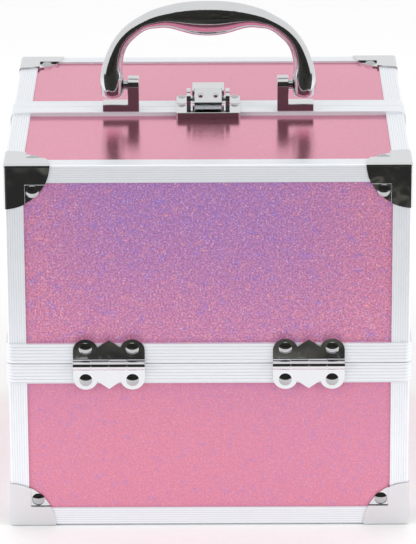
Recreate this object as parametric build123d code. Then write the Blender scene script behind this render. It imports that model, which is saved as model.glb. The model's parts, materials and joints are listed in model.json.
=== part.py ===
from build123d import *
import math
import os

# Twin-lid train case. Millimetres, +Z up, front is -Y, origin at the bottom centre.

# ---- overall sizes ----
body_width = 209.0      # over the edge trims, left to right
body_depth = 204.0      # over the edge trims, front to back
body_height = 198.7     # edge trims, bottom to top
seam_height = 91.6      # where base and lids meet, above the floor
seam_gap = 0.3          # between base and lids, and between the two lids

# ---- boards, rails, trims and caps ----
board_thick = 4.0
trim_thick = 1.0
trim_leg = 9.5
trim_edge = 0.6         # small flat on the outer edge of each trim
rail_proud = 1.2        # rail outside face beyond the trims
rail_width = 10.65
rail_web = 1.2
rail_inner = 1.0        # inner leg of each rail
rail_corner = 4.0       # outside corner radius of the rails
cap_thick = 0.8
cap_reach = 24.2        # radius of a corner cap's outline
cap_step = 10.5         # from the edge to where a cap steps down to its board
cap_edge = 2.0
cap_rivet_in = 15.0     # rivet from the corner, along each face
trim_under_cap = 12.0   # where a trim starts, hidden under its cap

# ---- rivets ----
rivet_radius = 3.4
rivet_height = 1.2
rivet_shank = 1.5
rivet_depth = 3.4       # shank below the face that the head sits on

# ---- butterfly hinges ----
hinge_width = 37.4
hinge_offset = 52.0     # hinge centre from the middle of the case
leaf_thick = 1.2
leaf_gap = 0.3          # leaf starts this far from the barrel's centre line
lobe_radius = 6.5
lobe_height = 7.4       # lobe centre above the barrel's centre line
peak_base = 9.4         # where the middle peak starts
peak_height = 13.5
peak_half = 6.0
barrel_radius = 2.5
barrel_clear = 0.3      # barrel to rail, knuckle to knuckle
pin_radius = 1.2
pin_clear = 0.08
knuckles = 4
hinge_rivet_up = 8.6

# ---- trays and their arms ----
tray_end_gap = 4.2      # tray end to the rail's inner leg
tray_wall = 1.6
tray_floor = 1.6
tray_divider = 1.4
divider_at = 32.0
tray_height = 32.0
tray_low = 104.0        # bottom of the lower tray
tray_gap = 2.0          # lower tray's top to upper tray's bottom
tray_middle = 4.0       # tray's inner side to the case's middle
tray_front = 87.5       # tray's outer side from the case's middle
arm_reach = 56.0        # arm's pivots, level distance when closed
arm_rise = 58.0         # arm's pivots, height when closed
lower_share = 0.38      # lower tray's pivot along the arm
arm_pivot_z = 87.0
outer_arm_y = 83.0
inner_arm_y = 66.0
strap_half = 4.5
strap_thick = 1.2
strap_gap = 0.3
link_along = 50.0       # link's pivot along the outer arm
stud_radius = 2.0
stud_clear = 0.1
stud_head = 3.0
stud_head_thick = 0.7

# ---- handle ----
bracket_inner = 36.8
bracket_wide = 19.6
bracket_deep = 10.2     # also the diameter of the bracket's round top
bracket_base = 4.2
bracket_upright = 6.2
handle_y = 5.7          # handle's centre plane, in front of the seam
handle_pivot_up = 13.6  # pivot above the top of the rail
handle_pin = 2.6
handle_span = 115.2
handle_up = 46.2        # pivot to the top of the grip
foot_round = 2.6
handle_clear = 0.08
# Sections of one half of the handle, from its foot to the middle of the grip: outer x and z and
# inner x and z, from the middle of the handle and its pivots, for the span and height above, then depth.
handle_sections = [
    (57.0, -5.7, 45.2, -5.7, 11.4, 1.9),
    (57.6, 0.7, 45.0, 0.7, 12.2, 2.1),
    (56.9, 8.7, 45.4, 8.5, 11.4, 1.7),
    (54.6, 16.4, 45.1, 14.9, 11.2, 0.9),
    (51.2, 23.4, 43.4, 20.4, 10.9, 0.2),
    (46.0, 30.4, 40.3, 24.7, 10.8, 0),
    (37.5, 37.0, 33.5, 30.2, 11.2, 0),
    (28.0, 41.8, 25.2, 31.8, 12.2, 0),
    (18.0, 44.6, 16.3, 30.5, 13.2, 0),
    (9.0, 45.9, 8.2, 28.2, 13.8, 0),
    (0.0, 46.2, 0.0, 27.4, 14.0, 0),
]

# ---- latch ----
latch_width = 34.4
latch_front = 17.5
latch_back = 15.6
latch_top_up = 1.6      # plate's top above the rail's top
latch_seam = 0.45       # plate's edge from the seam's middle
latch_wall = 1.6
latch_corner = 2.0
latch_edge = 0.5
ear_inner = 9.3
ear_thick = 2.2
ear_radius = 6.0
lever_half = 7.2
lever_y = 5.0           # lever's pivot in front of the seam
lever_up = 5.4          # lever's pivot above the rail's top
claw_half = 8.5
claw_arm_thick = 1.0
thumb_x = 4.0           # two small domes on the lever
thumb_radius = 1.6
claw_y = 7.0
claw_up = 9.9
latch_pin = 1.2
latch_clear = 0.08
latch_rivet_x = 14.2
latch_rivet_front = 3.4
latch_rivet_back = 12.8

# ---- derived planes ----
trim_x = body_width / 2
trim_y = body_depth / 2
trim_low = cap_thick
trim_top = trim_low + body_height
board_x = trim_x - trim_thick
board_y = trim_y - trim_thick
board_low = trim_low + trim_thick
board_top = trim_top - trim_thick
inside_x = board_x - board_thick
inside_y = board_y - board_thick
inside_low = board_low + board_thick
inside_top = board_top - board_thick
rail_x = trim_x + rail_proud
rail_y = trim_y + rail_proud
rail_top = trim_top + rail_proud
half_gap = seam_gap / 2
base_top = seam_height - half_gap
lid_low = seam_height + half_gap
seam_y = half_gap + rail_width

os.makedirs("parts", exist_ok=True)


def block(x0, x1, y0, y1, z0, z1):
    size = Box(x1 - x0, y1 - y0, z1 - z0)
    return Pos((x0 + x1) / 2, (y0 + y1) / 2, (z0 + z1) / 2) * size


def rod(x0, x1, y, z, radius):
    return Pos((x0 + x1) / 2, y, z) * Rot(0, 90, 0) * Cylinder(radius, x1 - x0)


def slab_x(points, x0, x1):
    """A (y, z) outline, solid from x0 to x1."""
    face = Plane.YZ.offset(x0) * Polygon(*points, align=None)
    return extrude(face, amount=x1 - x0, dir=(1, 0, 0))


def slab_y(face, y0, y1):
    """An (x, z) face, solid from y0 to y1."""
    return extrude(Plane.XZ.offset(-y1) * face, amount=y1 - y0, dir=(0, -1, 0))


def turn(shape):
    """The same piece on the other side, left for right."""
    return mirror(shape, about=Plane.YZ)


def back(shape):
    """The same piece on the rear half."""
    return mirror(shape, about=Plane.XZ)


def both(shape):
    return [shape, turn(shape)]


def less(shape, cutters):
    for cutter in cutters:
        shape = shape - cutter
    return shape


def save(name, shapes):
    solids = []
    for shape in shapes:
        solids += list(shape.solids())
    whole = Compound(children=solids) if len(solids) > 1 else solids[0]
    whole.label = name
    export_step(whole, "parts/" + name + ".step")


def rivet(at, turned, radius=rivet_radius, height=rivet_height, shank=rivet_shank, depth=rivet_depth):
    """A domed rivet and its shank, and the hole that the shank needs. The head points along local +Z."""
    ball = (radius * radius + height * height) / (2 * height)
    dome = Pos(0, 0, height - ball) * Sphere(ball)
    dome = dome - Pos(0, 0, -ball) * Box(4 * ball, 4 * ball, 2 * ball)
    stem = Pos(0, 0, -depth / 2) * Cylinder(shank, depth)
    return at * turned * (dome + stem), at * turned * stem


UP = Rot(0, 0, 0)
FRONT = Rot(90, 0, 0)
RIGHT = Rot(0, 90, 0)


# ---- rails ----
def rim(z0, z1, slot0, slot1):
    """A rail all the way round, between z0 and z1, with a slot for the boards."""
    outline = RectangleRounded(2 * rail_x, 2 * rail_y, rail_corner)
    ring = extrude(Pos(0, 0, z0) * outline, amount=z1 - z0)
    room_x = inside_x - rail_inner
    room_y = inside_y - rail_inner
    ring = ring - block(-room_x, room_x, -room_y, room_y, z0 - 1, z1 + 1)
    slot = block(-board_x, board_x, -board_y, board_y, slot0, slot1)
    core = block(-inside_x, inside_x, -inside_y, inside_y, slot0 - 1, slot1 + 1)
    return ring - (slot - core)


base_rail_low = base_top - rail_width
base_rail = rim(base_rail_low, base_top, base_rail_low - 1, base_top - rail_web)
lid_rail_top = lid_low + rail_width
lid_ring = rim(lid_low, lid_rail_top, lid_low + rail_web, lid_rail_top + 1)
lid_rail = lid_ring & block(-200, 200, -200, -half_gap, 0, 300)


def arch():
    """The rail that runs up one side, over the top and down the other, next to the seam."""
    high = rail_top - lid_rail_top
    middle = (rail_top + lid_rail_top - high) / 2
    outline = Pos(0, middle) * RectangleRounded(2 * rail_x, 2 * high, rail_corner)
    frame = slab_y(outline, -seam_y, -half_gap)
    frame = frame & block(-200, 200, -200, 200, lid_rail_top, 300)
    room_x = inside_x - rail_inner
    frame = frame - block(-room_x, room_x, -200, 200, 0, inside_top - rail_inner)
    edge = -half_gap - rail_web
    slot = block(-board_x, board_x, -seam_y - 1, edge, 0, board_top)
    core = block(-inside_x, inside_x, -seam_y - 2, edge + 1, -1, inside_top)
    return frame - (slot - core)


seam_rail = arch()

# ---- boards ----
lid_board_low = lid_low + rail_web
base_board_top = base_top - rail_web
lid_board_y = -half_gap - rail_web
base_bottom = block(-board_x, board_x, -board_y, board_y, board_low, inside_low)
base_front = block(-board_x, board_x, -board_y, -inside_y, inside_low, base_board_top)
base_side = block(inside_x, board_x, -inside_y, inside_y, inside_low, base_board_top)
lid_front = block(-board_x, board_x, -board_y, -inside_y, lid_board_low, inside_top)
lid_side = block(inside_x, board_x, -inside_y, lid_board_y, lid_board_low, inside_top)
lid_top = block(-board_x, board_x, -board_y, lid_board_y, inside_top, board_top)


# ---- edge trims ----
def angle(length):
    """An angle trim along +X from the origin; its outer corner is on the X axis, its legs go to -Y and -Z."""
    e = trim_edge
    t = trim_thick
    g = trim_leg
    points = [(-g, 0), (-e, 0), (0, -e), (0, -g), (-t, -g), (-t, -t), (-g, -t)]
    return slab_x(points, 0, length)


run_x = body_width - 2 * trim_under_cap
top_front_trim = Pos(-run_x / 2, -trim_y, trim_top) * Rot(90, 0, 0) * angle(run_x)
bottom_front_trim = Pos(-run_x / 2, -trim_y, trim_low) * Rot(180, 0, 0) * angle(run_x)


def side_trim(z, inward, y0, y1):
    """The angle trim along the right side; inward is 1 along the bottom edge and -1 along the top."""
    e = trim_edge
    t = trim_thick
    g = trim_leg
    x = trim_x
    points = [(x - g, z), (x - e, z), (x, z + inward * e), (x, z + inward * g)]
    points += [(x - t, z + inward * g), (x - t, z + inward * t), (x - g, z + inward * t)]
    return slab_y(Polygon(*points, align=None), y0, y1)


side_run = trim_y - trim_under_cap
bottom_side_trim = side_trim(trim_low, 1, -side_run, side_run)
top_side_trim = side_trim(trim_top, -1, -side_run, -seam_y)


def post(z0, z1):
    """The angle trim up the front right corner."""
    e = trim_edge
    t = trim_thick
    g = trim_leg
    points = [(-g, 0), (-e, 0), (0, e), (0, g), (-t, g), (-t, t), (-g, t)]
    face = Pos(trim_x, -trim_y, z0) * Polygon(*points, align=None)
    return extrude(face, amount=z1 - z0, dir=(0, 0, 1))


base_post = post(trim_low + trim_under_cap, base_rail_low)
lid_post = post(lid_rail_top, trim_top - trim_under_cap)


# ---- corner caps ----
def corner_cap():
    """A cap whose corner is at the origin, over a body in x < 0, y < 0, z < 0."""
    r = cap_reach
    s = cap_step
    t = cap_thick
    seat = t + trim_thick
    shell = block(-r, 0, -r, 0, -r, 0) - block(-r, -t, -r, -t, -r, -t)
    for a in range(3):
        size0 = [-r, -r, -r]
        size1 = [-s, -s, -s]
        size0[a] = -seat
        size1[a] = 0
        shell = shell + block(size0[0], size1[0], size0[1], size1[1], size0[2], size1[2])
    for a in range(3):
        size0 = [-r, -r, -r]
        size1 = [-s - t, -s - t, -s - t]
        size0[a] = -seat + t
        size1[a] = 0
        shell = shell - block(size0[0], size1[0], size0[1], size1[1], size0[2], size1[2])
    rounded = block(-2 * r, 0, -2 * r, 0, -2 * r, 0)
    rounded = fillet(rounded.edges().filter_by(lambda e: e.center().length < 1.2 * r), cap_edge)
    return shell & rounded & Sphere(r)


cap = corner_cap()
cap_x = trim_x + cap_thick
cap_y = trim_y + cap_thick
cap_z = trim_top + cap_thick
top_cap = Pos(cap_x, -cap_y, cap_z) * mirror(cap, about=Plane.XZ)
bottom_cap = Pos(cap_x, -cap_y, 0) * mirror(mirror(cap, about=Plane.XZ), about=Plane.XY)

face_in = board_y + cap_thick
side_in = board_x + cap_thick
roof_in = board_top + cap_thick
near_x = cap_x - cap_rivet_in
near_y = cap_y - cap_rivet_in
near_z = cap_z - cap_rivet_in
lid_cap_rivets = [
    rivet(Pos(near_x, -face_in, near_z), FRONT),
    rivet(Pos(side_in, -near_y, near_z), RIGHT),
    rivet(Pos(near_x, -near_y, roof_in), UP),
]
base_cap_rivets = [
    rivet(Pos(near_x, -face_in, cap_rivet_in), FRONT),
    rivet(Pos(side_in, -near_y, cap_rivet_in), RIGHT),
]

# ---- hinges ----
hinge_y = -rail_y - barrel_clear - barrel_radius
hinge_z = seam_height
leaf_y0 = -rail_y - leaf_thick
knuckle = (hinge_width - (knuckles - 1) * barrel_clear) / knuckles


def leaf(owner):
    """Half of a hinge about x = 0, above the barrel. owner 0 takes the first and third knuckles."""
    half = hinge_width / 2
    lobe_x = half - lobe_radius
    outline = Pos(0, (leaf_gap + lobe_height) / 2) * Rectangle(hinge_width, lobe_height - leaf_gap)
    outline = outline + Pos(lobe_x, lobe_height) * Circle(lobe_radius)
    outline = outline + Pos(-lobe_x, lobe_height) * Circle(lobe_radius)
    peak = [(-peak_half, lobe_height), (-peak_half, peak_base), (0, peak_height)]
    peak += [(peak_half, peak_base), (peak_half, lobe_height)]
    outline = outline + Polygon(*peak, align=None)
    trim = Pos(0, lobe_height) * Rectangle(hinge_width, 2 * (lobe_height - leaf_gap) + 4 * lobe_radius)
    outline = outline & trim
    outline = outline & Pos(0, leaf_gap + 20) * Rectangle(hinge_width, 40)
    plate = Pos(0, 0, hinge_z) * slab_y(outline, leaf_y0, -rail_y)
    for k in range(knuckles):
        x0 = -half + k * (knuckle + barrel_clear)
        if k % 2 == owner:
            plate = plate + rod(x0, x0 + knuckle, hinge_y, hinge_z, barrel_radius)
        else:
            wide = rod(x0 - barrel_clear, x0 + knuckle + barrel_clear, hinge_y, hinge_z, barrel_radius + barrel_clear)
            plate = plate - wide
    return plate


half = hinge_width / 2
bore = pin_radius + pin_clear
lid_leaf = leaf(0) - rod(-half - 1, half + 1, hinge_y, hinge_z, bore)
under = Pos(0, 0, 2 * hinge_z) * mirror(leaf(1), about=Plane.XY)
base_leaf = under - rod(-half - 1, half + 1, hinge_y, hinge_z, pin_radius)
hinge_pin = rod(-half, half, hinge_y, hinge_z, pin_radius)
lid_leaves = [Pos(s * hinge_offset, 0, 0) * lid_leaf for s in (1, -1)]
base_leaves = [Pos(s * hinge_offset, 0, 0) * base_leaf for s in (1, -1)]
hinge_pins = [Pos(s * hinge_offset, 0, 0) * hinge_pin for s in (1, -1)]

lid_hinge_rivets = []
base_hinge_rivets = []
hinge_depth = rivet_depth + leaf_thick
for s in (1, -1):
    for t in (1, -1):
        x = s * hinge_offset + t * (half - lobe_radius)
        lid_hinge_rivets.append(rivet(Pos(x, leaf_y0, hinge_z + hinge_rivet_up), FRONT, depth=hinge_depth))
        base_hinge_rivets.append(rivet(Pos(x, leaf_y0, hinge_z - hinge_rivet_up), FRONT, depth=hinge_depth))

# ---- trays, arms and links, front half ----
rail_inside_x = inside_x - rail_inner
tray_x = rail_inside_x - tray_end_gap
arm_x0 = tray_x + strap_gap
arm_x1 = arm_x0 + strap_thick
link_x0 = arm_x1 + strap_gap
link_x1 = link_x0 + strap_thick
outer_base = (-outer_arm_y, arm_pivot_z)
inner_base = (-inner_arm_y, arm_pivot_z)
reach = math.hypot(arm_reach, arm_rise)
lean = math.degrees(math.atan2(arm_rise, arm_reach))


def along(start, distance):
    share = distance / reach
    return (start[0] + share * arm_reach, start[1] + share * arm_rise)


lower_along = lower_share * reach
outer_lower = along(outer_base, lower_along)
inner_lower = along(inner_base, lower_along)
outer_upper = along(outer_base, reach)
inner_upper = along(inner_base, reach)
link_arm = along(outer_base, link_along)
link_lid = along((hinge_y, hinge_z), link_along)


def strap(p, q, x0, x1, holes):
    """A flat strap with round ends from p to q, in the (y, z) plane, with holes of given radii."""
    length = math.hypot(q[0] - p[0], q[1] - p[1])
    turned = math.degrees(math.atan2(q[1] - p[1], q[0] - p[0]))
    middle = ((p[0] + q[0]) / 2, (p[1] + q[1]) / 2)
    face = Pos(*middle) * Rot(0, 0, turned) * SlotCenterToCenter(length, 2 * strap_half)
    body = extrude(Plane.YZ.offset(x0) * face, amount=x1 - x0, dir=(1, 0, 0))
    for (y, z), radius in holes:
        body = body - rod(x0 - 1, x1 + 1, y, z, radius)
    return body


free_hole = stud_radius + stud_clear
outer_holes = [(outer_base, free_hole), (outer_lower, free_hole), (outer_upper, free_hole), (link_arm, stud_radius)]
inner_holes = [(inner_base, free_hole), (inner_lower, free_hole), (inner_upper, free_hole)]
outer_arm = strap(outer_base, outer_upper, arm_x0, arm_x1, outer_holes)
inner_arm = strap(inner_base, inner_upper, arm_x0, arm_x1, inner_holes)
link = strap(link_lid, link_arm, link_x0, link_x1, [(link_lid, free_hole), (link_arm, free_hole)])


def stack(at, steps):
    """Coaxial cylinders along X at a (y, z) point; steps are (x0, x1, radius)."""
    body = rod(steps[0][0], steps[0][1], at[0], at[1], steps[0][2])
    for x0, x1, radius in steps[1:]:
        body = body + rod(x0, x1, at[0], at[1], radius)
    return body


def base_stud(at):
    head = arm_x0 - stud_clear
    shoulder = arm_x1 + stud_clear
    steps = [
        (head - stud_head_thick, head, stud_head),
        (head, shoulder, stud_radius),
        (shoulder, rail_inside_x, stud_head),
        (rail_inside_x, board_x - 1, stud_radius),
    ]
    return stack(at, steps)


def lid_stud(at):
    head = link_x0 - stud_clear
    shoulder = link_x1 + stud_clear
    steps = [
        (head - stud_head_thick, head, stud_head),
        (head, shoulder, stud_radius),
        (shoulder, inside_x, stud_head),
        (inside_x, board_x - 1, stud_radius),
    ]
    return stack(at, steps)


def tray_rivet(at):
    inner = tray_x - tray_wall
    head = arm_x1 + stud_clear
    steps = [
        (inner - stud_head_thick, inner, stud_head),
        (inner, head, stud_radius),
        (head, head + stud_head_thick, stud_head),
    ]
    return stack(at, steps)


def link_rivet(at):
    head = link_x1 + stud_clear
    steps = [
        (arm_x0, head, stud_radius),
        (head, head + stud_head_thick, stud_head),
    ]
    return stack(at, steps)


base_studs = [base_stud(outer_base), base_stud(inner_base)]
lid_studs = [lid_stud(link_lid)]
lower_rivets = [tray_rivet(outer_lower), tray_rivet(inner_lower)]
upper_rivets = [tray_rivet(outer_upper), tray_rivet(inner_upper)]
link_rivets = [link_rivet(link_arm)]


def tray(low, pivots):
    high = low + tray_height
    body = block(-tray_x, tray_x, -tray_front, -tray_middle, low, high)
    y0 = -tray_front + tray_wall
    y1 = -tray_middle - tray_wall
    edges = [-tray_x + tray_wall, -divider_at, divider_at, tray_x - tray_wall]
    for k in range(3):
        x0 = edges[k] + (tray_divider / 2 if k > 0 else 0)
        x1 = edges[k + 1] - (tray_divider / 2 if k < 2 else 0)
        body = body - block(x0, x1, y0, y1, low + tray_floor, high + 1)
    for y, z in pivots:
        for s in (1, -1):
            ends = sorted((s * (tray_x - tray_wall - 1), s * (tray_x + 1)))
            body = body - rod(ends[0], ends[1], y, z, stud_radius)
    return body


upper_low = tray_low + tray_height + tray_gap
lower_tray = tray(tray_low, [outer_lower, inner_lower])
upper_tray = tray(upper_low, [outer_upper, inner_upper])

# ---- handle ----
pivot_z = rail_top + handle_pivot_up
bracket_outer = bracket_inner + bracket_wide
bracket_boss = bracket_deep / 2
bracket_y0 = -handle_y - bracket_boss
bracket_y1 = -handle_y + bracket_boss
upright_x = bracket_inner + bracket_upright
leg_x0 = handle_sections[1][2] * handle_span / 115.2
bracket = block(bracket_inner, bracket_outer, bracket_y0, bracket_y1, rail_top, rail_top + bracket_base)
bracket = bracket + block(bracket_inner, upright_x, bracket_y0, bracket_y1, rail_top + 1, pivot_z)
bracket = bracket + rod(bracket_inner, upright_x, -handle_y, pivot_z, bracket_boss)
pin_x0 = bracket_inner + 2
pin_x1 = leg_x0 + 8.5
bracket = bracket - rod(pin_x0, upright_x + 1, -handle_y, pivot_z, handle_pin)
bracket_pin = rod(pin_x0, pin_x1, -handle_y, pivot_z, handle_pin)


def section(row, side):
    """An oval across the handle at one row of the table, on the right for side 1 and the left for -1."""
    outer_x, outer_z, inner_x, inner_z, deep, ahead = row
    wide = handle_span / 115.2
    tall = handle_up / 46.2
    outer_x, inner_x = side * outer_x * wide, side * inner_x * wide
    outer_z, inner_z = outer_z * tall, inner_z * tall
    thick = math.hypot(outer_x - inner_x, outer_z - inner_z)
    to_x, to_z = (outer_x - inner_x) / thick, (outer_z - inner_z) / thick
    middle = ((outer_x + inner_x) / 2, -handle_y - ahead, pivot_z + (outer_z + inner_z) / 2)
    place = Plane(origin=middle, x_dir=(to_x, 0, to_z), z_dir=(-to_z, 0, to_x))
    return place * Ellipse(thick / 2, deep / 2)


sections = [section(row, 1) for row in handle_sections]
sections += [section(row, -1) for row in reversed(handle_sections[:-1])]
handle = loft(sections)
foot_z = pivot_z + handle_sections[0][1] * handle_up / 46.2
feet = handle.edges().filter_by(lambda e: abs(e.center().Z - foot_z) < 0.05 and e.bounding_box().size.Z < 0.05)
handle = fillet(feet, foot_round)
for s in (1, -1):
    ends = sorted((s * (leg_x0 - 3), s * (pin_x1 + 0.3)))
    handle = handle - rod(ends[0], ends[1], -handle_y, pivot_z, handle_pin + handle_clear)

# ---- latch ----
def eased(solid, far_y):
    """A latch base with its two far corners and its top edges rounded."""
    top = solid.bounding_box().max.Z
    corners = solid.edges().filter_by(Axis.Z).filter_by(lambda e: abs(e.center().Y - far_y) < 0.01)
    solid = fillet(corners, latch_corner)
    rims = solid.edges().filter_by(lambda e: e.bounding_box().min.Z > top - 0.01)
    outer = rims.filter_by(lambda e: abs(e.center().Y) > 2 * latch_seam)
    return fillet(outer, latch_edge)


plate_top = rail_top + latch_top_up
latch_half = latch_width / 2
plate = block(-latch_half, latch_half, -latch_front, -latch_seam, board_top, plate_top)
plate = eased(plate, -latch_front)
plate = plate - block(-latch_half - 1, latch_half + 1, -seam_y, 1, board_top - 1, rail_top)
plate = plate - block(
    -latch_half + latch_wall,
    latch_half - latch_wall,
    -latch_front + latch_wall,
    -seam_y - latch_wall,
    board_top - 1,
    plate_top - latch_wall,
)
lever_at = (-lever_y, rail_top + lever_up)
claw_at = (-claw_y, rail_top + claw_up)
for s in (1, -1):
    x0, x1 = sorted((s * ear_inner, s * (ear_inner + ear_thick)))
    ear = rod(x0, x1, lever_at[0], lever_at[1], ear_radius)
    foot_y1 = min(lever_at[0] + ear_radius, -latch_seam)
    foot_block = block(x0, x1, lever_at[0] - ear_radius, foot_y1, plate_top - 1, lever_at[1])
    plate = plate + (ear & block(-50, 50, -50, 50, plate_top - 1, 300)) + foot_block
ear_outer = ear_inner + ear_thick
plate = plate - rod(-ear_outer - 1, ear_outer + 1, lever_at[0], lever_at[1], latch_pin)
lever_pin = rod(-ear_outer, ear_outer, lever_at[0], lever_at[1], latch_pin)

y = lever_at[0]
z = lever_at[1]
outline = [
    (y - 8.8, z - 0.1),
    (y - 8.6, z + 0.7),
    (y - 2.4, z + 6.9),
    (y - 0.6, z + 6.9),
    (y + 0.2, z + 5.4),
    (y + 1.8, z),
    (y + 1.4, z - 1.6),
    (y - 1.4, z - 1.6),
    (y - 2.6, z),
    (y - 4.6, z + 2.9),
]
lever = slab_x(outline, -lever_half, lever_half)
for s in (1, -1):
    lever = lever + Pos(s * thumb_x, y - 5.1, z + 3.3) * Sphere(thumb_radius)
hub = rod(-lever_half, lever_half, y, z, 1.9)
lever = lever + hub
lever = lever - rod(-lever_half - 1, lever_half + 1, y, z, latch_pin + latch_clear)
lever = lever - rod(-lever_half - 1, lever_half + 1, claw_at[0], claw_at[1], latch_pin)
claw_pin = rod(-claw_half, claw_half, claw_at[0], claw_at[1], latch_pin)

roof_low = plate_top + 7.6
roof_high = plate_top + 9.1
hook_low = plate_top + 3.8
hook_y0 = 12.0 - lever_y
hook_y1 = 13.6 - lever_y
hook_y2 = 15.0 - lever_y
arm_low = claw_at[1] - 2.2
claw_arm = [
    (claw_at[0] - 2.2, claw_at[1] - 1.0),
    (claw_at[0] - 2.2, claw_at[1] + 1.2),
    (claw_at[0] - 1.0, roof_high),
    (-lever_y + 6.0, roof_high),
    (-lever_y + 6.0, roof_low),
    (claw_at[0] + 3.0, claw_at[1] - 1.6),
    (claw_at[0] - 1.2, arm_low),
]
claw_roof = [
    (-lever_y + 2.6, roof_low),
    (-lever_y + 2.6, roof_high),
    (hook_y2 - 0.8, roof_high),
    (hook_y2, roof_high - 0.8),
    (hook_y2, hook_low),
    (hook_y0, hook_low),
    (hook_y0, hook_low + 0.6),
    (hook_y0 + 0.4, hook_low + 1.0),
    (hook_y1, hook_low + 1.0),
    (hook_y1, roof_low),
]
claw = slab_x(claw_roof, -claw_half, claw_half)
for s in (1, -1):
    x0, x1 = sorted((s * (claw_half - claw_arm_thick), s * claw_half))
    claw = claw + slab_x(claw_arm, x0, x1)
claw = claw - rod(-claw_half - 1, claw_half + 1, claw_at[0], claw_at[1], latch_pin + latch_clear)

keeper = block(-latch_half, latch_half, latch_seam, latch_back, board_top, plate_top)
keeper = eased(keeper, latch_back)
keeper = keeper - block(-latch_half - 1, latch_half + 1, 0, seam_y, board_top - 1, rail_top)
lip_low = hook_low + 1.0 + 1.2
post_y = hook_y0 - 1.4
keeper_post = block(-claw_half + 1, claw_half - 1, post_y, post_y + 0.9, plate_top - 1, lip_low + 0.9)
keeper = keeper + keeper_post
keeper = keeper + block(-claw_half + 1, claw_half - 1, post_y, post_y + 2.2, lip_low, lip_low + 0.9)

latch_depth = latch_top_up + 4.4
latch_rivets = []
keeper_rivets = []
for s in (1, -1):
    latch_rivets.append(
        rivet(Pos(s * latch_rivet_x, -latch_rivet_front, plate_top), UP, radius=2.4, height=1.0, depth=latch_depth)
    )
    keeper_rivets.append(
        rivet(Pos(s * latch_rivet_x, latch_rivet_back, plate_top), UP, radius=2.4, height=1.0, depth=latch_depth)
    )

# ---- the front half's pieces, with every hole cut ----
lid_rivets = lid_hinge_rivets
for head, hole in lid_cap_rivets:
    lid_rivets = lid_rivets + [(head, hole), (turn(head), turn(hole))]
base_rivets = base_hinge_rivets
for head, hole in base_cap_rivets:
    base_rivets = base_rivets + [(head, hole), (turn(head), turn(hole))]
lid_holes = [hole for head, hole in lid_rivets]
base_holes = [hole for head, hole in base_rivets]
front_holes = lid_holes + [hole for head, hole in latch_rivets]
rear_latch_holes = [back(hole) for head, hole in keeper_rivets]
rear_holes = lid_holes + rear_latch_holes
stud_holes = []
for stud in base_studs:
    stud_holes += both(stud)
lid_stud_holes = both(lid_studs[0])

base_all_holes = base_holes + [back(h) for h in base_holes]
base_stud_all = stud_holes + [back(h) for h in stud_holes]

save("base_bottom_board", [base_bottom])
save("base_front_board", [less(base_front, base_holes)])
save("base_rear_board", [back(less(base_front, base_holes))])
save("base_side_boards", [less(s, base_all_holes + base_stud_all) for s in both(base_side)])
save("base_rim_rail", [less(base_rail, base_all_holes + base_stud_all)])
base_trims = [bottom_front_trim, back(bottom_front_trim)] + both(bottom_side_trim)
save("base_bottom_trims", base_trims)
posts = both(base_post)
save("base_corner_trims", posts + [back(p) for p in posts])
caps = [less(c, base_holes) for c in both(bottom_cap)]
save("base_corner_caps", caps + [back(c) for c in caps])
heads = [head for head, hole in base_rivets]
save("base_rivets", heads + [back(h) for h in heads])
leaves = [less(s, base_holes) for s in base_leaves]
save("base_hinge_leaves", leaves + [back(s) for s in leaves])
save("hinge_pins", hinge_pins + [back(p) for p in hinge_pins])
studs = []
for stud in base_studs:
    studs += both(stud)
save("base_arm_studs", studs + [back(s) for s in studs])

halves = [("front", front_holes, lambda s: s), ("rear", rear_holes, back)]
for name, holes, place in halves:
    save(name + "_lid_top_board", [place(less(lid_top, holes))])
    save(name + "_lid_wall_board", [place(less(lid_front, holes))])
    save(name + "_lid_side_boards", [place(less(s, holes + lid_stud_holes)) for s in both(lid_side)])
    save(name + "_lid_rim_rail", [place(less(lid_rail, holes))])
    save(name + "_lid_seam_rail", [place(less(seam_rail, holes))])
    trims = [top_front_trim] + both(top_side_trim) + both(lid_post)
    save(name + "_lid_edge_trims", [place(s) for s in trims])
    save(name + "_lid_corner_caps", [place(less(s, holes)) for s in both(top_cap)])
    save(name + "_lid_rivets", [place(head) for head, hole in lid_rivets])
    save(name + "_lid_hinge_leaves", [place(less(s, holes)) for s in lid_leaves])
    save(name + "_lid_link_studs", [place(s) for s in both(lid_studs[0])])
    save(name + "_links", [place(s) for s in both(link)])
    save(name + "_link_rivets", [place(s) for s in both(link_rivets[0])])
    save(name + "_outer_arms", [place(s) for s in both(outer_arm)])
    save(name + "_inner_arms", [place(s) for s in both(inner_arm)])
    save(name + "_lower_tray", [place(lower_tray)])
    save(name + "_upper_tray", [place(upper_tray)])
    save(name + "_lower_tray_rivets", [place(t) for s in lower_rivets for t in both(s)])
    save(name + "_upper_tray_rivets", [place(t) for s in upper_rivets for t in both(s)])

save("handle_brackets", both(bracket))
save("handle_pins", both(bracket_pin))
save("handle_bail", [handle])
save("latch_plate", [less(plate, front_holes)])
save("latch_plate_rivets", [head for head, hole in latch_rivets])
save("latch_lever", [lever])
save("latch_lever_pin", [lever_pin])
save("latch_claw", [claw])
save("latch_claw_pin", [claw_pin])
save("latch_keeper", [less(keeper, [back(h) for h in rear_holes])])
save("latch_keeper_rivets", [head for head, hole in keeper_rivets])
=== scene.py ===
import json
import math

import bmesh
import bpy
from bpy.props import FloatProperty, FloatVectorProperty, IntProperty, PointerProperty
from mathutils import Matrix, Vector


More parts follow.
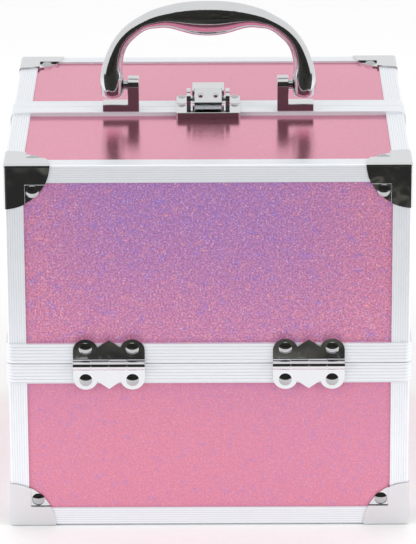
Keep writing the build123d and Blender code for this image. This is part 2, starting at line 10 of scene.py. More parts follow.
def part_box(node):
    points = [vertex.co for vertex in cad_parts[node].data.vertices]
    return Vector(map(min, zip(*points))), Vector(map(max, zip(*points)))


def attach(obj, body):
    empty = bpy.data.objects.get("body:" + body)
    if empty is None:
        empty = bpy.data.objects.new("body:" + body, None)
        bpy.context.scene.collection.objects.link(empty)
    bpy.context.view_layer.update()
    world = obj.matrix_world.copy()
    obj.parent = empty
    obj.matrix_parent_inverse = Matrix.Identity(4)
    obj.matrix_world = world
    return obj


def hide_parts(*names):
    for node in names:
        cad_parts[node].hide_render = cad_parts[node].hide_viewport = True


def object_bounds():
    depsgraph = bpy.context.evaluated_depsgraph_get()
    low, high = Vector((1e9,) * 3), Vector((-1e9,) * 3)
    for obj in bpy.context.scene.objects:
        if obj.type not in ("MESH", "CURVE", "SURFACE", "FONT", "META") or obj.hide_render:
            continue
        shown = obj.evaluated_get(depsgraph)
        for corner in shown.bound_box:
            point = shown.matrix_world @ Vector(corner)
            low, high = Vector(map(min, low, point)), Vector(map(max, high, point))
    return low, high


bl_info = {
    "name": "Twin-lid train case",
    "version": (1, 0, 0),
    "blender": (4, 5, 0),
    "location": "View3D > Sidebar > Train case",
    "description": "Finishes and softens the pieces of a small twin-lid train case",
    "category": "Object",
}

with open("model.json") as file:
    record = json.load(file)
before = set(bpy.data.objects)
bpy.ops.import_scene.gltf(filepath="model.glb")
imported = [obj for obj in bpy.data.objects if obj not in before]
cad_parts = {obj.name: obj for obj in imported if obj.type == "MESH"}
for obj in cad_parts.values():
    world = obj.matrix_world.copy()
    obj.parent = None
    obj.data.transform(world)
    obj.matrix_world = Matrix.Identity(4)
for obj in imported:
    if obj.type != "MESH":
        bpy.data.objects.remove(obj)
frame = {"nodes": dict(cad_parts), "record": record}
NODES = frame["nodes"]
CAD_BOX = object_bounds()
BODY_OF = {name: body for body, names in frame["record"]["behaviour"]["bodies"].items() for name in names}
HALVES = ("front", "rear")
BLEND = 0.0002        # over which one pattern gives way to the next
SKIN = 0.0036         # from a board's outer face to where its lining starts
TRIM_BAND = 0.0096    # a trim's face, in from its outer corner
LID_BAND = 0.0108     # the level part of a lid's trims, down from their top
MERGE = 0.000002      # points closer than this are one point
NEAR = 0.00003        # how close a point has to be to a plane to lie on it
DOME_STEPS = 8
TURN_STEPS = 32


def reach(node):
    """The highest corner of a node, and its lowest."""
    low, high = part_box(node)
    return Vector(high), Vector(low)


TRIM_X = reach("front_lid_edge_trims")[0].x
TRIM_TOP = reach("front_lid_edge_trims")[0].z
LINE_Z = reach("base_rim_rail")[0].z
TOP_Z = reach("front_lid_top_board")[0].z
INSIDE_X = reach("base_side_boards")[0].x - SKIN
INSIDE_Y = reach("base_rear_board")[0].y - SKIN
INSIDE_TOP = reach("front_lid_top_board")[1].z + 0.0003
INSIDE_LOW = reach("base_bottom_board")[0].z - 0.0003


# ---- settings ----
class CaseFilm(bpy.types.PropertyGroup):
    """The glitter film on the boards."""

    pink: FloatVectorProperty(
        name="Pink", description="Film colour at the sides", subtype="COLOR", size=3,
        default=(0.735, 0.26, 0.375), min=0, max=1,
    )
    # Violet is the film's own tint, used for a painted reflection: the walls turn darker violet higher up and
    # towards the middle.
    violet: FloatVectorProperty(
        name="Violet", description="Film colour where it turns violet", subtype="COLOR", size=3,
        default=(0.465, 0.23, 0.53), min=0, max=1,
    )
    roof: FloatVectorProperty(
        name="Roof pink", description="Film colour on the lid tops", subtype="COLOR", size=3,
        default=(0.79, 0.275, 0.40), min=0, max=1,
    )
    cool: FloatVectorProperty(
        name="Cool fleck", description="Colour of the cool flecks", subtype="COLOR", size=3,
        default=(0.33, 0.22, 0.66), min=0, max=1,
    )
    warm: FloatVectorProperty(
        name="Warm fleck", description="Colour of the warm flecks", subtype="COLOR", size=3,
        default=(0.90, 0.36, 0.36), min=0, max=1,
    )
    fleck: FloatProperty(
        name="Fleck", description="Size of one glitter fleck", subtype="DISTANCE", default=0.0006, min=0.0001,
    )
    grain: FloatProperty(
        name="Grain depth", description="Depth of the pebbled grain", subtype="DISTANCE", default=0.00011,
    )


class CaseMetal(bpy.types.PropertyGroup):
    """Aluminium, chrome and plated strip."""

    aluminium: FloatVectorProperty(
        name="Aluminium", description="Colour of rails and trims", subtype="COLOR", size=3,
        default=(0.90, 0.925, 0.965), min=0, max=1,
    )
    chrome: FloatVectorProperty(
        name="Chrome", description="Colour of polished pieces", subtype="COLOR", size=3,
        default=(0.86, 0.87, 0.89), min=0, max=1,
    )
    strip: FloatVectorProperty(
        name="Strip", description="Colour of arms and links", subtype="COLOR", size=3,
        default=(0.55, 0.56, 0.58), min=0, max=1,
    )
    rib_pitch: FloatProperty(
        name="Rib pitch", description="Distance between ribs on rails and trims", subtype="DISTANCE",
        default=0.00178, min=0.0005,
    )
    rib_depth: FloatProperty(
        name="Rib depth", description="Depth of the ribs", subtype="DISTANCE", default=0.00008, min=0,
    )
    # Painted shade in the rib grooves.
    rib_shade: FloatProperty(
        name="Rib shade", description="How dark the bottom of a rib is", subtype="FACTOR",
        default=0.84, min=0, max=1,
    )
    aluminium_metal: FloatProperty(
        name="Aluminium metal", description="How metallic the aluminium looks", subtype="FACTOR",
        default=0.45, min=0, max=1,
    )


class CaseShape(bpy.types.PropertyGroup):
    """How far edges are rounded."""

    cast_edge: FloatProperty(
        name="Cast edge", description="Edge rounding of cast pieces", subtype="DISTANCE",
        default=0.0005, min=0,
    )
    stamped_edge: FloatProperty(
        name="Stamped edge", description="Edge rounding of stamped pieces", subtype="DISTANCE",
        default=0.00025, min=0,
    )
    moulded_edge: FloatProperty(
        name="Moulded edge", description="Edge rounding of the trays", subtype="DISTANCE",
        default=0.0006, min=0,
    )
    cap_step: FloatProperty(
        name="Cap step", description="From a cap's corner to its step", subtype="DISTANCE",
        default=0.0113, min=0,
    )
    step_roll: FloatProperty(
        name="Step roll", description="Rounding of a cap's step", subtype="DISTANCE", default=0.001, min=0,
    )
    segments: IntProperty(name="Segments", description="Steps in each rounded edge", default=2, min=1, max=6)
    sharp: FloatProperty(
        name="Sharp angle", description="Edges turned by more than this are rounded", subtype="ANGLE",
        default=math.radians(28),
    )


class CaseInside(bpy.types.PropertyGroup):
    """Trays and lining."""

    tray: FloatVectorProperty(
        name="Tray", description="Colour of the trays", subtype="COLOR", size=3,
        default=(0.82, 0.50, 0.60), min=0, max=1,
    )
    lining: FloatVectorProperty(
        name="Lining", description="Colour of the flocked lining", subtype="COLOR", size=3,
        default=(0.035, 0.032, 0.036), min=0, max=1,
    )


class CaseStage(bpy.types.PropertyGroup):
    """Camera, floor and lights."""

    lens: FloatProperty(
        name="Lens", description="Focal length on a 36 mm sensor", subtype="DISTANCE_CAMERA", default=254.3,
    )
    place: FloatVectorProperty(
        name="Camera", description="Where the camera stands", subtype="XYZ", unit="LENGTH", size=3,
        default=(0.0054, -1.9811, 0.7843),
    )
    pitch: FloatProperty(
        name="Pitch", description="How far the camera looks down", subtype="ANGLE", default=0.3296,
    )
    yaw: FloatProperty(
        name="Yaw", description="How far the camera turns to the right", subtype="ANGLE", default=-0.0030,
    )
    roll: FloatProperty(name="Roll", description="Camera roll", subtype="ANGLE", default=-0.0048)
    floor: FloatVectorProperty(
        name="Floor", description="Floor colour", subtype="COLOR", size=3,
        default=(0.98, 0.98, 0.98), min=0, max=1,
    )
    sky: FloatProperty(
        name="Sky", description="Strength of the white surroundings", subtype="FACTOR",
        default=0.87, min=0, max=2,
    )
    top_power: FloatProperty(
        name="Top light", description="Power of the light above", subtype="POWER", default=2, min=0,
    )
    side_power: FloatProperty(
        name="Side lights", description="Power of the lights at the sides", subtype="POWER", default=14, min=0,
    )
    floor_size: FloatProperty(
        name="Floor size", description="Width and depth of the floor", subtype="DISTANCE",
        default=8.0, min=1,
    )
    # Painted reflection: where the dark cards that the chrome and film mirror begin, and how wide they are.
    dark_from: FloatProperty(
        name="Dark from", description="From the case's front to the dark ground that the chrome shows",
        subtype="DISTANCE", default=0.245, min=0,
    )
    dark_wide: FloatProperty(
        name="Dark width", description="Width of the dark ground and wall", subtype="DISTANCE",
        default=16.0, min=1,
    )


def settings():
    return bpy.context.scene.train_case


class CaseSettings(bpy.types.PropertyGroup):
    """All settings of the train case."""

    film: PointerProperty(type=CaseFilm, name="Film", description="The boards' glitter film")
    metal: PointerProperty(type=CaseMetal, name="Metal", description="Metal finishes")
    shape: PointerProperty(type=CaseShape, name="Shape", description="Edge rounding")
    inside: PointerProperty(type=CaseInside, name="Inside", description="Trays and lining")
    stage: PointerProperty(type=CaseStage, name="Stage", description="Camera, floor and lights")


# ---- material building ----
class Tree:
    """A short hand for building one material's nodes."""

    def __init__(self, name):
        self.material = bpy.data.materials.new(name)
        self.material.use_nodes = True
        self.nodes = self.material.node_tree.nodes
        self.links = self.material.node_tree.links
        self.shader = self.nodes["Principled BSDF"]
        self.coords = self.nodes.new("ShaderNodeTexCoord")
        self.place = self.nodes.new("ShaderNodeSeparateXYZ")
        self.links.new(self.coords.outputs["Object"], self.place.inputs[0])

    def put(self, socket, value):
        if isinstance(value, bpy.types.NodeSocket):
            self.links.new(value, socket)
        else:
            socket.default_value = value

    def math(self, operation, *values, clamp=False):
        node = self.nodes.new("ShaderNodeMath")
        node.operation = operation
        node.use_clamp = clamp
        for socket, value in zip(node.inputs, values):
            self.put(socket, value)
        return node.outputs[0]

    def span(self, value, low, high, to_low=0.0, to_high=1.0):
        node = self.nodes.new("ShaderNodeMapRange")
        node.interpolation_type = "SMOOTHSTEP"
        for socket, given in zip(node.inputs, (value, low, high, to_low, to_high)):
            self.put(socket, given)
        return node.outputs[0]

    def mix(self, factor, a, b, blend="MIX"):
        node = self.nodes.new("ShaderNodeMix")
        node.data_type = "RGBA"
        node.blend_type = blend
        self.put(node.inputs[0], factor)
        self.put(node.inputs[6], a if isinstance(a, bpy.types.NodeSocket) else (*a, 1))
        self.put(node.inputs[7], b if isinstance(b, bpy.types.NodeSocket) else (*b, 1))
        return node.outputs[2]

    def noise(self, scale, detail=2.0, rough=0.5):
        node = self.nodes.new("ShaderNodeTexNoise")
        self.links.new(self.coords.outputs["Object"], node.inputs["Vector"])
        node.inputs["Scale"].default_value = scale
        node.inputs["Detail"].default_value = detail
        node.inputs["Roughness"].default_value = rough
        return node.outputs["Fac"]

    def cells(self, scale):
        node = self.nodes.new("ShaderNodeTexVoronoi")
        self.links.new(self.coords.outputs["Object"], node.inputs["Vector"])
        node.inputs["Scale"].default_value = scale
        split = self.nodes.new("ShaderNodeSeparateColor")
        self.links.new(node.outputs["Color"], split.inputs[0])
        return split.outputs[0], split.outputs[1]

    def grey(self, value):
        node = self.nodes.new("ShaderNodeCombineColor")
        for socket in node.inputs[:3]:
            self.links.new(value, socket)
        return node.outputs[0]

    def bump(self, height, distance):
        node = self.nodes.new("ShaderNodeBump")
        node.inputs["Strength"].default_value = 1.0
        node.inputs["Distance"].default_value = distance
        self.put(node.inputs["Height"], height)
        return node.outputs[0]

    def finish(self, color=None, rough=None, metallic=None, normal=None, **sockets):
        names = {"Base Color": color, "Roughness": rough, "Metallic": metallic, "Normal": normal}
        for name, value in {**names, **sockets}.items():
            if value is None:
                continue
            if isinstance(value, tuple) and len(value) == 3:
                value = (*value, 1)
            self.put(self.shader.inputs[name], value)
        return self.material


def colour(value):
    return tuple(value)


def film_material(name, roof):
    """Pebbled glitter film outside, black flocking inside."""
    s = settings()
    t = Tree(name)
    x, y, z = t.place.outputs
    low = t.noise(9.0, 1.0)
    if roof:
        base = t.mix(t.span(low, 0.35, 0.65), colour(s.film.roof), [c * 1.06 for c in s.film.roof])
    else:
        # Painted reflection: the walls go from pink to a darker violet higher up and towards the middle, where
        # the film mirrors the dark room in front. Pink and violet are the film's own colours, but this layout
        # of them is painted light.
        side = t.span(t.math("ABSOLUTE", t.math("ADD", x, 0.006)), 0.03, 0.105, 1.0, 0.35)
        high = t.span(z, LINE_Z - 0.05, TOP_Z - 0.01)
        painted_reflection_zone = t.math("MULTIPLY", high, side)
        wander = t.math("MULTIPLY", t.math("SUBTRACT", low, 0.5), 0.5)
        violet = t.math("ADD", painted_reflection_zone, wander, clamp=True)
        base = t.mix(violet, colour(s.film.pink), colour(s.film.violet))
    patch = t.noise(230.0, 3.0, 0.6)
    other = t.noise(310.0, 3.0, 0.6)
    calm = t.span(z, LINE_Z - 0.001, LINE_Z + 0.001, 0.4, 1.0)
    share = t.math("MULTIPLY", calm, 0.05 if roof else 0.5)
    film = t.mix(t.math("MULTIPLY", t.span(patch, 0.52, 0.72), share), base, colour(s.film.cool))
    warmer = t.math("MULTIPLY", t.span(other, 0.54, 0.74), t.math("MULTIPLY", share, 0.8))
    film = t.mix(warmer, film, colour(s.film.warm))
    first, second = t.cells(1.0 / s.film.fleck)
    flecked = t.math("MULTIPLY", share, 0.65)
    cool = t.math("MULTIPLY", t.span(first, 0.72, 0.98), flecked)
    warm = t.math("MULTIPLY", t.span(second, 0.74, 0.98), flecked)
    # Painted glints: pale flecks, where both cell patterns run high, stand for the glitter's sparkle.
    both = t.span(t.math("MULTIPLY", first, second), 0.50, 0.90)
    painted_glints = t.math("MULTIPLY", both, t.math("MULTIPLY", share, 0.7))
    film = t.mix(cool, film, colour(s.film.cool))
    film = t.mix(warm, film, colour(s.film.warm))
    film = t.mix(painted_glints, film, (0.95, 0.72, 0.86))
    pebble = t.noise(1050.0, 2.0, 0.6)
    # Painted shade and light on the grain: the colour darkens in the pebble's hollows and lightens on its
    # crests, following the bump's own noise. It is weaker on the lower board and faint on the lid tops.
    depth = 0.05 if roof else 0.26
    shade = t.math("ADD", 1.0, t.math("MULTIPLY", calm, t.span(pebble, 0.34, 0.66, -depth, depth * 0.8)))
    film = t.mix(1.0, film, t.grey(shade), "MULTIPLY")
    inner = t.math("MULTIPLY", t.span(t.math("ABSOLUTE", x), INSIDE_X, INSIDE_X + BLEND, 1.0, 0.0),
                   t.span(t.math("ABSOLUTE", y), INSIDE_Y, INSIDE_Y + BLEND, 1.0, 0.0))
    inner = t.math("MULTIPLY", inner, t.span(z, INSIDE_TOP, INSIDE_TOP + BLEND, 1.0, 0.0))
    inner = t.math("MULTIPLY", inner, t.span(z, INSIDE_LOW - BLEND, INSIDE_LOW))
    nap = t.noise(2600.0, 2.0, 0.7)
    cloth = t.mix(nap, [c * 0.6 for c in s.inside.lining], [c * 1.7 for c in s.inside.lining])
    color = t.mix(inner, film, cloth)
    smooth, dull = (0.14, 0.20) if roof else (0.34, 0.46)
    rough = t.math("ADD", t.span(pebble, 0.3, 0.7, smooth, dull), t.math("MULTIPLY", inner, 0.5))
    metallic = t.math("MULTIPLY", t.math("SUBTRACT", 1.0, inner), 0.85 if roof else 0.38)
    normal = t.bump(pebble, s.film.grain * (0.3 if roof else 1.0))
    return t.finish(color, rough, metallic, normal)


def ribbed_material(name, along):
    """Ribbed aluminium. The ribs run the way that each run of rail or trim does."""
    s = settings().metal
    t = Tree(name)
    x, y, z = t.place.outputs
    wide = t.math("ABSOLUTE", x)
    deep = t.math("ABSOLUTE", y)
    pitch = s.rib_pitch
    if along == "rim":
        across = z
    elif along == "arch":
        across = y
    elif along == "post":
        across = t.math("ADD", wide, deep)
        pitch = s.rib_pitch * 0.7
    else:
        pitch = s.rib_pitch * 0.7
        side = t.span(wide, TRIM_X - TRIM_BAND - BLEND, TRIM_X - TRIM_BAND)
        flat = t.math("SUBTRACT", 1.0, side)
        outward = t.math("ADD", t.math("MULTIPLY", side, wide), t.math("MULTIPLY", flat, deep))
        level = t.math("ADD", z, outward)
        if along == "lid":
            post = t.span(z, TRIM_TOP - LID_BAND - BLEND, TRIM_TOP - LID_BAND, 1.0, 0.0)
            square = t.math("ADD", wide, deep)
            keep = t.math("SUBTRACT", 1.0, post)
            across = t.math("ADD", t.math("MULTIPLY", post, square), t.math("MULTIPLY", keep, level))
        else:
            across = level
    wave = t.math("SINE", t.math("MULTIPLY", across, 2 * math.pi / pitch))
    ridge = t.span(wave, -1.0, -0.35)
    # Painted shade: the colour darkens at the bottom of each rib, where shade falls in the groove.
    color = t.mix(ridge, [c * s.rib_shade for c in s.aluminium], colour(s.aluminium))
    smear = t.noise(40.0, 3.0)
    color = t.mix(t.math("MULTIPLY", smear, 0.2), color, (0.78, 0.83, 0.90))
    rough = t.span(t.noise(300.0, 2.0), 0.3, 0.7, 0.30, 0.40)
    normal = t.bump(ridge, s.rib_depth)
    return t.finish(color, rough, s.aluminium_metal, normal)


def chrome_material(name, rough, tint, wave=0.00002):
    """Polished chrome, smeared and a little wavy."""
    s = settings().metal
    t = Tree(name)
    smear = t.noise(120.0, 3.0, 0.6)
    color = t.mix(smear, [c * 0.94 * tint for c in s.chrome], [c * tint for c in s.chrome])
    polish = t.span(t.noise(260.0, 3.0), 0.3, 0.75, rough, rough + 0.035)
    normal = t.bump(t.noise(85.0, 1.0), wave)
    return t.finish(color, polish, 1.0, normal)


def strip_material(name):
    """Scratched plated strip."""
    s = settings().metal
    t = Tree(name)
    scratch = t.noise(900.0, 4.0, 0.7)
    color = t.mix(scratch, [c * 0.8 for c in s.strip], colour(s.strip))
    rough = t.span(scratch, 0.3, 0.7, 0.26, 0.40)
    return t.finish(color, rough, 1.0, t.bump(scratch, 0.00002))


def tray_material(name):
    """Moulded plastic with a fine skin."""
    s = settings().inside
    t = Tree(name)
    cloud = t.noise(30.0, 2.0)
    color = t.mix(cloud, [c * 0.94 for c in s.tray], colour(s.tray))
    skin = t.noise(1800.0, 2.0, 0.6)
    rough = t.span(skin, 0.3, 0.7, 0.28, 0.38)
    made = t.finish(color, rough, 0.0, t.bump(skin, 0.00002))
    t.shader.inputs["Coat Weight"].default_value = 0.25
    return made


MATERIALS = {}


def material(name, maker, **how):
    """A material by its name, made once."""
    if name not in MATERIALS:
        MATERIALS[name] = maker(name, **how)
    return MATERIALS[name]


def dress(node, made):
    """Gives a carried-over node its material."""
    mesh = NODES[node].data
    mesh.materials.clear()
    mesh.materials.append(made)


DOMED = (
    "base_rivets",
    "front_lid_rivets",
    "rear_lid_rivets",
    "latch_plate_rivets",
    "latch_keeper_rivets",
)


def islands(bm):
    """The loose parts of a bmesh, as lists of their points."""
    left = set(bm.verts)
    found = []
    while left:
        start = left.pop()
        part = [start]
        for vert in part:
            for edge in vert.link_edges:
                other = edge.other_vert(vert)
                if other in left:
                    left.remove(other)
                    part.append(other)
        found.append([vert.co.copy() for vert in part])
    return found


def measured(points):
    """Where a rivet's head sits, which way it faces, and its sizes, read from the points of its solid."""
    low = Vector([min(p[a] for p in points) for a in range(3)])
    high = Vector([max(p[a] for p in points) for a in range(3)])
    size = high - low
    middle = (low + high) / 2
    odd = min(range(3), key=lambda a: abs(size[(a + 1) % 3] - size[(a + 2) % 3]))
    radius = size[(odd + 1) % 3] / 2
    way = Vector((0, 0, 0))
    way[odd] = 1 if odd == 2 or middle[odd] > 0 else -1
    at = [((p - middle).dot(way), ((p - middle) - way * (p - middle).dot(way)).length) for p in points]
    top = max(along for along, off in at)
    seat = max(along for along, off in at if off > radius * 0.98)
    bottom = min(along for along, off in at)
    shank = max(off for along, off in at if along < bottom + 0.0001)
    return middle + way * seat, way, radius, top - seat, shank, seat - bottom


def domed(node, made):
    """Smooth domed rivets, which stand for a node's rivets."""
    source = bmesh.new()
    source.from_mesh(NODES[node].data)
    bmesh.ops.remove_doubles(source, verts=source.verts, dist=MERGE)
    whole = bmesh.new()
    for points in islands(source):
        seat, way, radius, height, shank, depth = measured(points)
        ball = (radius * radius + height * height) / (2 * height)
        spread = math.asin(min(1.0, radius / ball))
        line = []
        for step in range(DOME_STEPS + 1):
            turn = spread * step / DOME_STEPS
            line.append((ball * math.sin(turn), ball * math.cos(turn) - ball + height))
        line += [(shank, 0.0), (shank, -depth), (0.0, -depth)]
        turned = Matrix.Translation(seat) @ way.to_track_quat("Z", "Y").to_matrix().to_4x4()
        one = bmesh.new()
        verts = [one.verts.new((across, 0, up)) for across, up in line]
        edges = [one.edges.new(pair) for pair in zip(verts, verts[1:])]
        bmesh.ops.spin(one, geom=verts + edges, axis=(0, 0, 1), cent=(0, 0, 0), angle=2 * math.pi,
                       steps=TURN_STEPS, use_merge=True)
        bmesh.ops.remove_doubles(one, verts=one.verts, dist=MERGE)
        bmesh.ops.recalc_face_normals(one, faces=one.faces)
        bmesh.ops.transform(one, matrix=turned, verts=one.verts)
        mesh = bpy.data.meshes.new("rivet")
        one.to_mesh(mesh)
        one.free()
        whole.from_mesh(mesh)
        bpy.data.meshes.remove(mesh)
    source.free()
    if not whole.faces:
        raise RuntimeError("no rivets came from " + node)
    mesh = bpy.data.meshes.new(node + "_shape")
    whole.to_mesh(mesh)
    whole.free()
    for polygon in mesh.polygons:
        polygon.use_smooth = True
    mesh.set_sharp_from_angle(angle=math.radians(35))
    piece = bpy.data.objects.new(node + "_shape", mesh)
    bpy.context.scene.collection.objects.link(piece)
    mesh.materials.append(made)
    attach(piece, BODY_OF[node])
    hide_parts(node)
    return piece


def rolled_steps(bm, node):
    """Rolls the edges where a corner cap steps down to its board."""
    s = settings().shape
    low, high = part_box(node)
    outer_z = low.z if node.startswith("base") else high.z
    outer_x = high.x
    outer_y = max(abs(low.y), abs(high.y))

    def off(vert):
        """How far a point is inside the cap's three outer faces."""
        return outer_x - abs(vert.co.x), outer_y - abs(vert.co.y), abs(vert.co.z - outer_z)

    chosen = []
    for edge in bm.edges:
        first, second = (off(vert) for vert in edge.verts)
        on_face = any(max(first[a], second[a]) < NEAR for a in range(3))
        on_step = any(max(abs(first[a] - s.cap_step), abs(second[a] - s.cap_step)) < NEAR for a in range(3))
        if on_face and on_step and edge.is_manifold and edge.calc_face_angle(0.0) > 0.5:
            chosen.append(edge)
    if not chosen:
        raise RuntimeError("no step was found on " + node)
    bmesh.ops.bevel(bm, geom=chosen, offset=s.step_roll, offset_type="OFFSET", segments=5, profile=0.5,
                    affect="EDGES", clamp_overlap=True, material=-1)


def softened(node, width, made, before=None):
    """A copy of a node with its sharp edges rounded, which stands for the node."""
    s = settings().shape
    mesh = bpy.data.meshes.new(node + "_shape")
    bm = bmesh.new()
    bm.from_mesh(NODES[node].data)
    bmesh.ops.remove_doubles(bm, verts=bm.verts, dist=MERGE)
    bmesh.ops.dissolve_limit(bm, angle_limit=math.radians(0.6), verts=bm.verts, edges=bm.edges)
    if before:
        before(bm, node)
    bm.to_mesh(mesh)
    bm.free()
    if not mesh.polygons:
        raise RuntimeError("no faces came from " + node)
    piece = bpy.data.objects.new(node + "_shape", mesh)
    bpy.context.scene.collection.objects.link(piece)
    mesh.materials.append(made)
    for polygon in mesh.polygons:
        polygon.use_smooth = True
    bevel = piece.modifiers.new("rounded edges", "BEVEL")
    bevel.limit_method = "ANGLE"
    bevel.angle_limit = s.sharp
    bevel.width = width
    bevel.segments = s.segments
    bevel.use_clamp_overlap = True
    even = piece.modifiers.new("even shading", "WEIGHTED_NORMAL")
    even.weight = 80
    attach(piece, BODY_OF[node])
    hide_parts(node)
    return piece


# ---- operators ----
class FilmBoards(bpy.types.Operator):
    """Covers the boards with glitter film outside and flocking inside"""

    bl_idname = "case.film_boards"
    bl_label = "Film boards"

    def execute(self, context):
        wall = material("glitter film, walls", film_material, roof=False)
        roof = material("glitter film, lid tops", film_material, roof=True)
        for node in NODES:
            if "board" in node:
                dress(node, roof if "top_board" in node else wall)
        return {"FINISHED"}


class RailsAndTrims(bpy.types.Operator):
    """Gives rails and trims their ribbed aluminium"""

    bl_idname = "case.rails_and_trims"
    bl_label = "Rails and trims"

    def execute(self, context):
        ways = {
            "rim_rail": "rim",
            "seam_rail": "arch",
            "edge_trims": "lid",
            "corner_trims": "post",
            "bottom_trims": "edge",
        }
        for node in NODES:
            for ending, along in ways.items():
                if node.endswith(ending):
                    dress(node, material("ribbed aluminium, " + along, ribbed_material, along=along))
        return {"FINISHED"}


class CornerCaps(bpy.types.Operator):
    """Rounds the edges of the pressed corner caps"""

    bl_idname = "case.corner_caps"
    bl_label = "Corner caps"

    def execute(self, context):
        made = material("pressed chrome", chrome_material, rough=0.03, tint=0.93, wave=0.00016)
        for node in sorted(NODES):
            if node.endswith("corner_caps"):
                softened(node, settings().shape.stamped_edge, made, rolled_steps)
        return {"FINISHED"}


class Hinges(bpy.types.Operator):
    """Rounds the edges of the butterfly hinges"""

    bl_idname = "case.hinges"
    bl_label = "Hinges"

    def execute(self, context):
        made = material("stamped chrome", chrome_material, rough=0.015, tint=0.95, wave=0.00004)
        for node in sorted(NODES):
            if node.endswith("hinge_leaves"):
                softened(node, settings().shape.stamped_edge, made)
        dress("hinge_pins", made)
        return {"FINISHED"}


class Rivets(bpy.types.Operator):
    """Polishes rivets, studs and pins"""

    bl_idname = "case.rivets"
    bl_label = "Rivets"

    def execute(self, context):
        made = material("rivet chrome", chrome_material, rough=0.06, tint=0.62)
        for node in sorted(NODES):
            if node in DOMED:
                domed(node, made)
            elif node.endswith(("rivets", "studs", "_pin", "handle_pins")):
                dress(node, made)
        return {"FINISHED"}


class Handle(bpy.types.Operator):
    """Polishes the handle and its brackets"""

    bl_idname = "case.handle"
    bl_label = "Handle"

    def execute(self, context):
        made = material("cast chrome", chrome_material, rough=0.04, tint=0.9)
        dress("handle_bail", made)
        softened("handle_brackets", settings().shape.cast_edge, made)
        return {"FINISHED"}


class Latch(bpy.types.Operator):
    """Rounds the edges of the draw latch"""

    bl_idname = "case.latch"
    bl_label = "Latch"

    def execute(self, context):
        made = material("cast chrome", chrome_material, rough=0.04, tint=0.9)
        for node in ("latch_plate", "latch_lever", "latch_claw", "latch_keeper"):
            softened(node, settings().shape.stamped_edge, made)
        return {"FINISHED"}


class Trays(bpy.types.Operator):
    """Rounds the edges of the moulded trays"""

    bl_idname = "case.trays"
    bl_label = "Trays"

    def execute(self, context):
        made = material("moulded tray plastic", tray_material)
        for half in HALVES:
            for level in ("lower", "upper"):
                softened(f"{half}_{level}_tray", settings().shape.moulded_edge, made)
        return {"FINISHED"}


class Straps(bpy.types.Operator):
    """Finishes the tray arms and links"""

    bl_idname = "case.straps"
    bl_label = "Arms and links"

    def execute(self, context):
        made = material("plated strip", strip_material)
        for half in HALVES:
            for kind in ("outer_arms", "inner_arms", "links"):
                dress(f"{half}_{kind}", made)
        return {"FINISHED"}


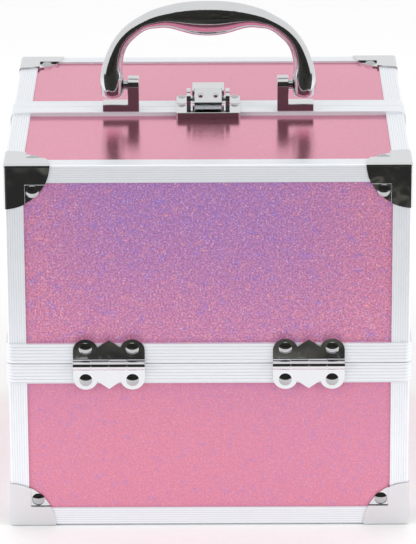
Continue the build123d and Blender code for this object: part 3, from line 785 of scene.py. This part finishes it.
class Stage(bpy.types.Operator):
    """Makes the floor, the lights and the camera"""

    bl_idname = "case.stage"
    bl_label = "Stage"

    def flat(self, name, width, depth, place, turned, made):
        mesh = bpy.data.meshes.new(name)
        bm = bmesh.new()
        bmesh.ops.create_grid(bm, x_segments=1, y_segments=1, size=0.5)
        move = Matrix.Translation(place) @ turned @ Matrix.Diagonal((width, depth, 1, 1))
        bmesh.ops.transform(bm, matrix=move, verts=bm.verts)
        bm.to_mesh(mesh)
        bm.free()
        mesh.materials.append(made)
        card = bpy.data.objects.new(name, mesh)
        bpy.context.scene.collection.objects.link(card)
        return card

    def lamp(self, name, size, depth, place, aim, power):
        data = bpy.data.lights.new(name, "AREA")
        data.shape = "RECTANGLE"
        data.size = size
        data.size_y = depth
        data.energy = power
        light = bpy.data.objects.new(name, data)
        light.location = place
        light.rotation_mode = "QUATERNION"
        light.rotation_quaternion = (Vector(aim) - Vector(place)).to_track_quat("-Z", "Y")
        light.visible_glossy = False
        bpy.context.scene.collection.objects.link(light)
        return light

    def execute(self, context):
        s = settings().stage
        t = Tree("pale floor")
        dust = t.noise(14.0, 2.0)
        tone = t.mix(dust, [c * 0.985 for c in s.floor], colour(s.floor))
        made = t.finish(tone, 0.6, 0.0)
        self.flat("floor", s.floor_size, s.floor_size, (0, 0, 0), Matrix.Identity(4), made)
        # Painted reflection: dark cards, hidden from the camera, from diffuse light and from shadows, stand
        # for the unlit room in front of the case so that chrome and film mirror dark there. Their streaks
        # paint brownish tones into those reflections.
        dark = Tree("painted dark reflection")
        streak = dark.span(dark.noise(11.0, 3.0), 0.46, 0.74)
        black = dark.finish(dark.mix(streak, (0.007, 0.007, 0.006), (0.10, 0.095, 0.075)), 0.9, 0.0)
        edge = CAD_BOX[0][1] - s.dark_from
        ground = (0, edge - 1.5, 0.002)
        near = self.flat("dark reflection card on the ground in front", s.dark_wide, 3.0, ground, Matrix.Identity(4), black)
        upright = Matrix.Rotation(math.radians(90), 4, "X")
        behind = (0, edge - 3.0, 1.8)
        wall = self.flat("dark reflection card behind the camera", s.dark_wide, 4.4, behind, upright, black)
        for card in (near, wall):
            for seen in ("visible_camera", "visible_diffuse", "visible_shadow", "visible_transmission"):
                setattr(card, seen, False)
        world = bpy.data.worlds.new("studio")
        bpy.context.scene.world = world
        world.use_nodes = True
        back = world.node_tree.nodes["Background"]
        back.inputs[0].default_value = (1, 1, 1, 1)
        back.inputs[1].default_value = s.sky
        self.lamp("soft top", 1.6, 1.4, (0, 0.2, 1.7), (0, 0, 0), s.top_power)
        self.lamp("soft left", 1.0, 1.4, (-1.6, -1.1, 0.9), (0, 0, 0.1), s.side_power)
        self.lamp("soft right", 1.0, 1.4, (1.6, -1.1, 0.9), (0, 0, 0.1), s.side_power)
        data = bpy.data.cameras.new("camera")
        data.sensor_width = 36
        data.sensor_fit = "AUTO"
        data.lens = s.lens
        data.clip_start = 0.05
        data.clip_end = 50
        camera = bpy.data.objects.new("camera", data)
        camera.location = s.place
        cp, sp = math.cos(s.pitch), math.sin(s.pitch)
        cy, sy = math.cos(s.yaw), math.sin(s.yaw)
        ahead = Vector((sy * cp, cy * cp, -sp))
        right = Vector((cy, -sy, 0))
        up = right.cross(ahead)
        cr, sr = math.cos(s.roll), math.sin(s.roll)
        right, up = right * cr + up * sr, up * cr - right * sr
        turned = Matrix((right, up, -ahead)).transposed()
        camera.rotation_mode = "QUATERNION"
        camera.rotation_quaternion = turned.to_quaternion()
        bpy.context.scene.collection.objects.link(camera)
        bpy.context.scene.camera = camera
        bpy.context.scene.view_settings.view_transform = "Standard"
        return {"FINISHED"}


OPERATORS = (FilmBoards, RailsAndTrims, CornerCaps, Hinges, Rivets, Handle, Latch, Trays, Straps, Stage)


class CasePanel(bpy.types.Panel):
    """The train case's settings and steps"""

    bl_idname = "VIEW3D_PT_train_case"
    bl_label = "Train case"
    bl_space_type = "VIEW_3D"
    bl_region_type = "UI"
    bl_category = "Train case"

    def draw(self, context):
        s = context.scene.train_case
        for group in (s.film, s.metal, s.shape, s.inside, s.stage):
            box = self.layout.box()
            box.label(text=type(group).__doc__)
            for name in type(group).__annotations__:
                box.prop(group, name)
        for operator in OPERATORS:
            self.layout.operator(operator.bl_idname)


CLASSES = (CaseFilm, CaseMetal, CaseShape, CaseInside, CaseStage, CaseSettings, *OPERATORS, CasePanel)


def register():
    for item in CLASSES:
        bpy.utils.register_class(item)
    bpy.types.Scene.train_case = PointerProperty(
        type=CaseSettings, name="Train case", description="Settings of the train case"
    )


def unregister():
    del bpy.types.Scene.train_case
    for item in reversed(CLASSES):
        bpy.utils.unregister_class(item)


def main():
    register()
    for operator in OPERATORS:
        group, name = operator.bl_idname.split(".")
        getattr(getattr(bpy.ops, group), name)()


if __name__ == "__main__":
    main()
